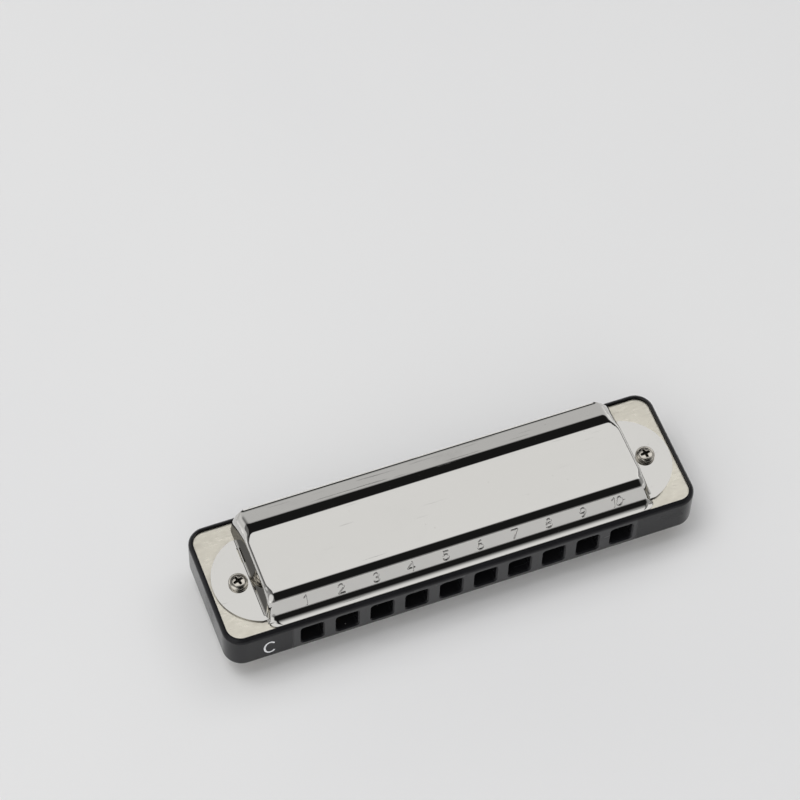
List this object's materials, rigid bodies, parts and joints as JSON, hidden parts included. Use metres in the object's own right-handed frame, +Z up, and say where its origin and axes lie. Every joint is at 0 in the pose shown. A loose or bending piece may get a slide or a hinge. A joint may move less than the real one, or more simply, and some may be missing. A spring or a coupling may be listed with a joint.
{
  "type": "harmonica",
  "caption": "Small diatonic harmonica: plastic comb with recessed reed plates, chromed stamped covers with round screw tabs, open back and free reeds that swing.",
  "frame": {"origin": "under the middle of the comb, on the plane that the flat of the lower cover rests on", "axes": "+X along the comb from the low notes to the high notes, mouth holes towards -Y, +Z up through the upper cover"},
  "size_m": [0.1026, 0.0286, 0.0193],
  "materials": {
    "comb_plastic": "gloss",
    "reed_plate": "satin, pale tinned",
    "reed_brass": "satin",
    "rivet_brass": "satin",
    "screw_steel": "satin",
    "cover_chrome": "polished",
    "screw_chrome": "polished"
  },
  "bodies": {
    "root": {"comb": "comb_plastic", "upper_reed_plate": "reed_plate", "lower_reed_plate": "reed_plate", "blow_reed_pads": "reed_brass", "blow_reed_rivets": "rivet_brass", "draw_reed_pads": "reed_brass", "draw_reed_rivets": "rivet_brass", "upper_plate_screws": "screw_steel", "lower_plate_screws": "screw_steel", "upper_cover": "cover_chrome", "lower_cover": "cover_chrome", "cover_screws": "screw_chrome", "cover_nuts": "screw_chrome"},
    "blow_reed_01": {"blow_reed_01": "reed_brass"},
    "blow_reed_02": {"blow_reed_02": "reed_brass"},
    "blow_reed_03": {"blow_reed_03": "reed_brass"},
    "blow_reed_04": {"blow_reed_04": "reed_brass"},
    "blow_reed_05": {"blow_reed_05": "reed_brass"},
    "blow_reed_06": {"blow_reed_06": "reed_brass"},
    "blow_reed_07": {"blow_reed_07": "reed_brass"},
    "blow_reed_08": {"blow_reed_08": "reed_brass"},
    "blow_reed_09": {"blow_reed_09": "reed_brass"},
    "blow_reed_10": {"blow_reed_10": "reed_brass"},
    "draw_reed_01": {"draw_reed_01": "reed_brass"},
    "draw_reed_02": {"draw_reed_02": "reed_brass"},
    "draw_reed_03": {"draw_reed_03": "reed_brass"},
    "draw_reed_04": {"draw_reed_04": "reed_brass"},
    "draw_reed_05": {"draw_reed_05": "reed_brass"},
    "draw_reed_06": {"draw_reed_06": "reed_brass"},
    "draw_reed_07": {"draw_reed_07": "reed_brass"},
    "draw_reed_08": {"draw_reed_08": "reed_brass"},
    "draw_reed_09": {"draw_reed_09": "reed_brass"},
    "draw_reed_10": {"draw_reed_10": "reed_brass"}
  },
  "joints": [
    {"name": "blow_reed_01_swing", "type": "hinge", "parent": "root", "child": "blow_reed_01", "pos_m": [-0.03345, 0.00723, 0.01265], "axis": [1, 0, 0], "range_deg": [-5, 5], "stiffness_Nm_per_rad": 0.02},
    {"name": "blow_reed_02_swing", "type": "hinge", "parent": "root", "child": "blow_reed_02", "pos_m": [-0.02595, 0.00723, 0.01265], "axis": [1, 0, 0], "range_deg": [-4.78, 4.78], "stiffness_Nm_per_rad": 0.0222},
    {"name": "blow_reed_03_swing", "type": "hinge", "parent": "root", "child": "blow_reed_03", "pos_m": [-0.01845, 0.00723, 0.01265], "axis": [1, 0, 0], "range_deg": [-4.56, 4.56], "stiffness_Nm_per_rad": 0.0244},
    {"name": "blow_reed_04_swing", "type": "hinge", "parent": "root", "child": "blow_reed_04", "pos_m": [-0.01095, 0.00723, 0.01265], "axis": [1, 0, 0], "range_deg": [-4.33, 4.33], "stiffness_Nm_per_rad": 0.0267},
    {"name": "blow_reed_05_swing", "type": "hinge", "parent": "root", "child": "blow_reed_05", "pos_m": [-0.00345, 0.00723, 0.01265], "axis": [1, 0, 0], "range_deg": [-4.11, 4.11], "stiffness_Nm_per_rad": 0.0289},
    {"name": "blow_reed_06_swing", "type": "hinge", "parent": "root", "child": "blow_reed_06", "pos_m": [0.00405, 0.00723, 0.01265], "axis": [1, 0, 0], "range_deg": [-3.89, 3.89], "stiffness_Nm_per_rad": 0.0311},
    {"name": "blow_reed_07_swing", "type": "hinge", "parent": "root", "child": "blow_reed_07", "pos_m": [0.01155, 0.00723, 0.01265], "axis": [1, 0, 0], "range_deg": [-3.67, 3.67], "stiffness_Nm_per_rad": 0.0333},
    {"name": "blow_reed_08_swing", "type": "hinge", "parent": "root", "child": "blow_reed_08", "pos_m": [0.01905, 0.00723, 0.01265], "axis": [1, 0, 0], "range_deg": [-3.44, 3.44], "stiffness_Nm_per_rad": 0.0356},
    {"name": "blow_reed_09_swing", "type": "hinge", "parent": "root", "child": "blow_reed_09", "pos_m": [0.02655, 0.00723, 0.01265], "axis": [1, 0, 0], "range_deg": [-3.22, 3.22], "stiffness_Nm_per_rad": 0.0378},
    {"name": "blow_reed_10_swing", "type": "hinge", "parent": "root", "child": "blow_reed_10", "pos_m": [0.03405, 0.00723, 0.01265], "axis": [1, 0, 0], "range_deg": [-3, 3], "stiffness_Nm_per_rad": 0.04},
    {"name": "draw_reed_01_swing", "type": "hinge", "parent": "root", "child": "draw_reed_01", "pos_m": [-0.03345, -0.00743, 0.00533], "axis": [1, 0, 0], "range_deg": [-5, 5], "stiffness_Nm_per_rad": 0.02},
    {"name": "draw_reed_02_swing", "type": "hinge", "parent": "root", "child": "draw_reed_02", "pos_m": [-0.02595, -0.00743, 0.00533], "axis": [1, 0, 0], "range_deg": [-4.78, 4.78], "stiffness_Nm_per_rad": 0.0222},
    {"name": "draw_reed_03_swing", "type": "hinge", "parent": "root", "child": "draw_reed_03", "pos_m": [-0.01845, -0.00743, 0.00533], "axis": [1, 0, 0], "range_deg": [-4.56, 4.56], "stiffness_Nm_per_rad": 0.0244},
    {"name": "draw_reed_04_swing", "type": "hinge", "parent": "root", "child": "draw_reed_04", "pos_m": [-0.01095, -0.00743, 0.00533], "axis": [1, 0, 0], "range_deg": [-4.33, 4.33], "stiffness_Nm_per_rad": 0.0267},
    {"name": "draw_reed_05_swing", "type": "hinge", "parent": "root", "child": "draw_reed_05", "pos_m": [-0.00345, -0.00743, 0.00533], "axis": [1, 0, 0], "range_deg": [-4.11, 4.11], "stiffness_Nm_per_rad": 0.0289},
    {"name": "draw_reed_06_swing", "type": "hinge", "parent": "root", "child": "draw_reed_06", "pos_m": [0.00405, -0.00743, 0.00533], "axis": [1, 0, 0], "range_deg": [-3.89, 3.89], "stiffness_Nm_per_rad": 0.0311},
    {"name": "draw_reed_07_swing", "type": "hinge", "parent": "root", "child": "draw_reed_07", "pos_m": [0.01155, -0.00743, 0.00533], "axis": [1, 0, 0], "range_deg": [-3.67, 3.67], "stiffness_Nm_per_rad": 0.0333},
    {"name": "draw_reed_08_swing", "type": "hinge", "parent": "root", "child": "draw_reed_08", "pos_m": [0.01905, -0.00743, 0.00533], "axis": [1, 0, 0], "range_deg": [-3.44, 3.44], "stiffness_Nm_per_rad": 0.0356},
    {"name": "draw_reed_09_swing", "type": "hinge", "parent": "root", "child": "draw_reed_09", "pos_m": [0.02655, -0.00743, 0.00533], "axis": [1, 0, 0], "range_deg": [-3.22, 3.22], "stiffness_Nm_per_rad": 0.0378},
    {"name": "draw_reed_10_swing", "type": "hinge", "parent": "root", "child": "draw_reed_10", "pos_m": [0.03405, -0.00743, 0.00533], "axis": [1, 0, 0], "range_deg": [-3, 3], "stiffness_Nm_per_rad": 0.04}
  ]
}
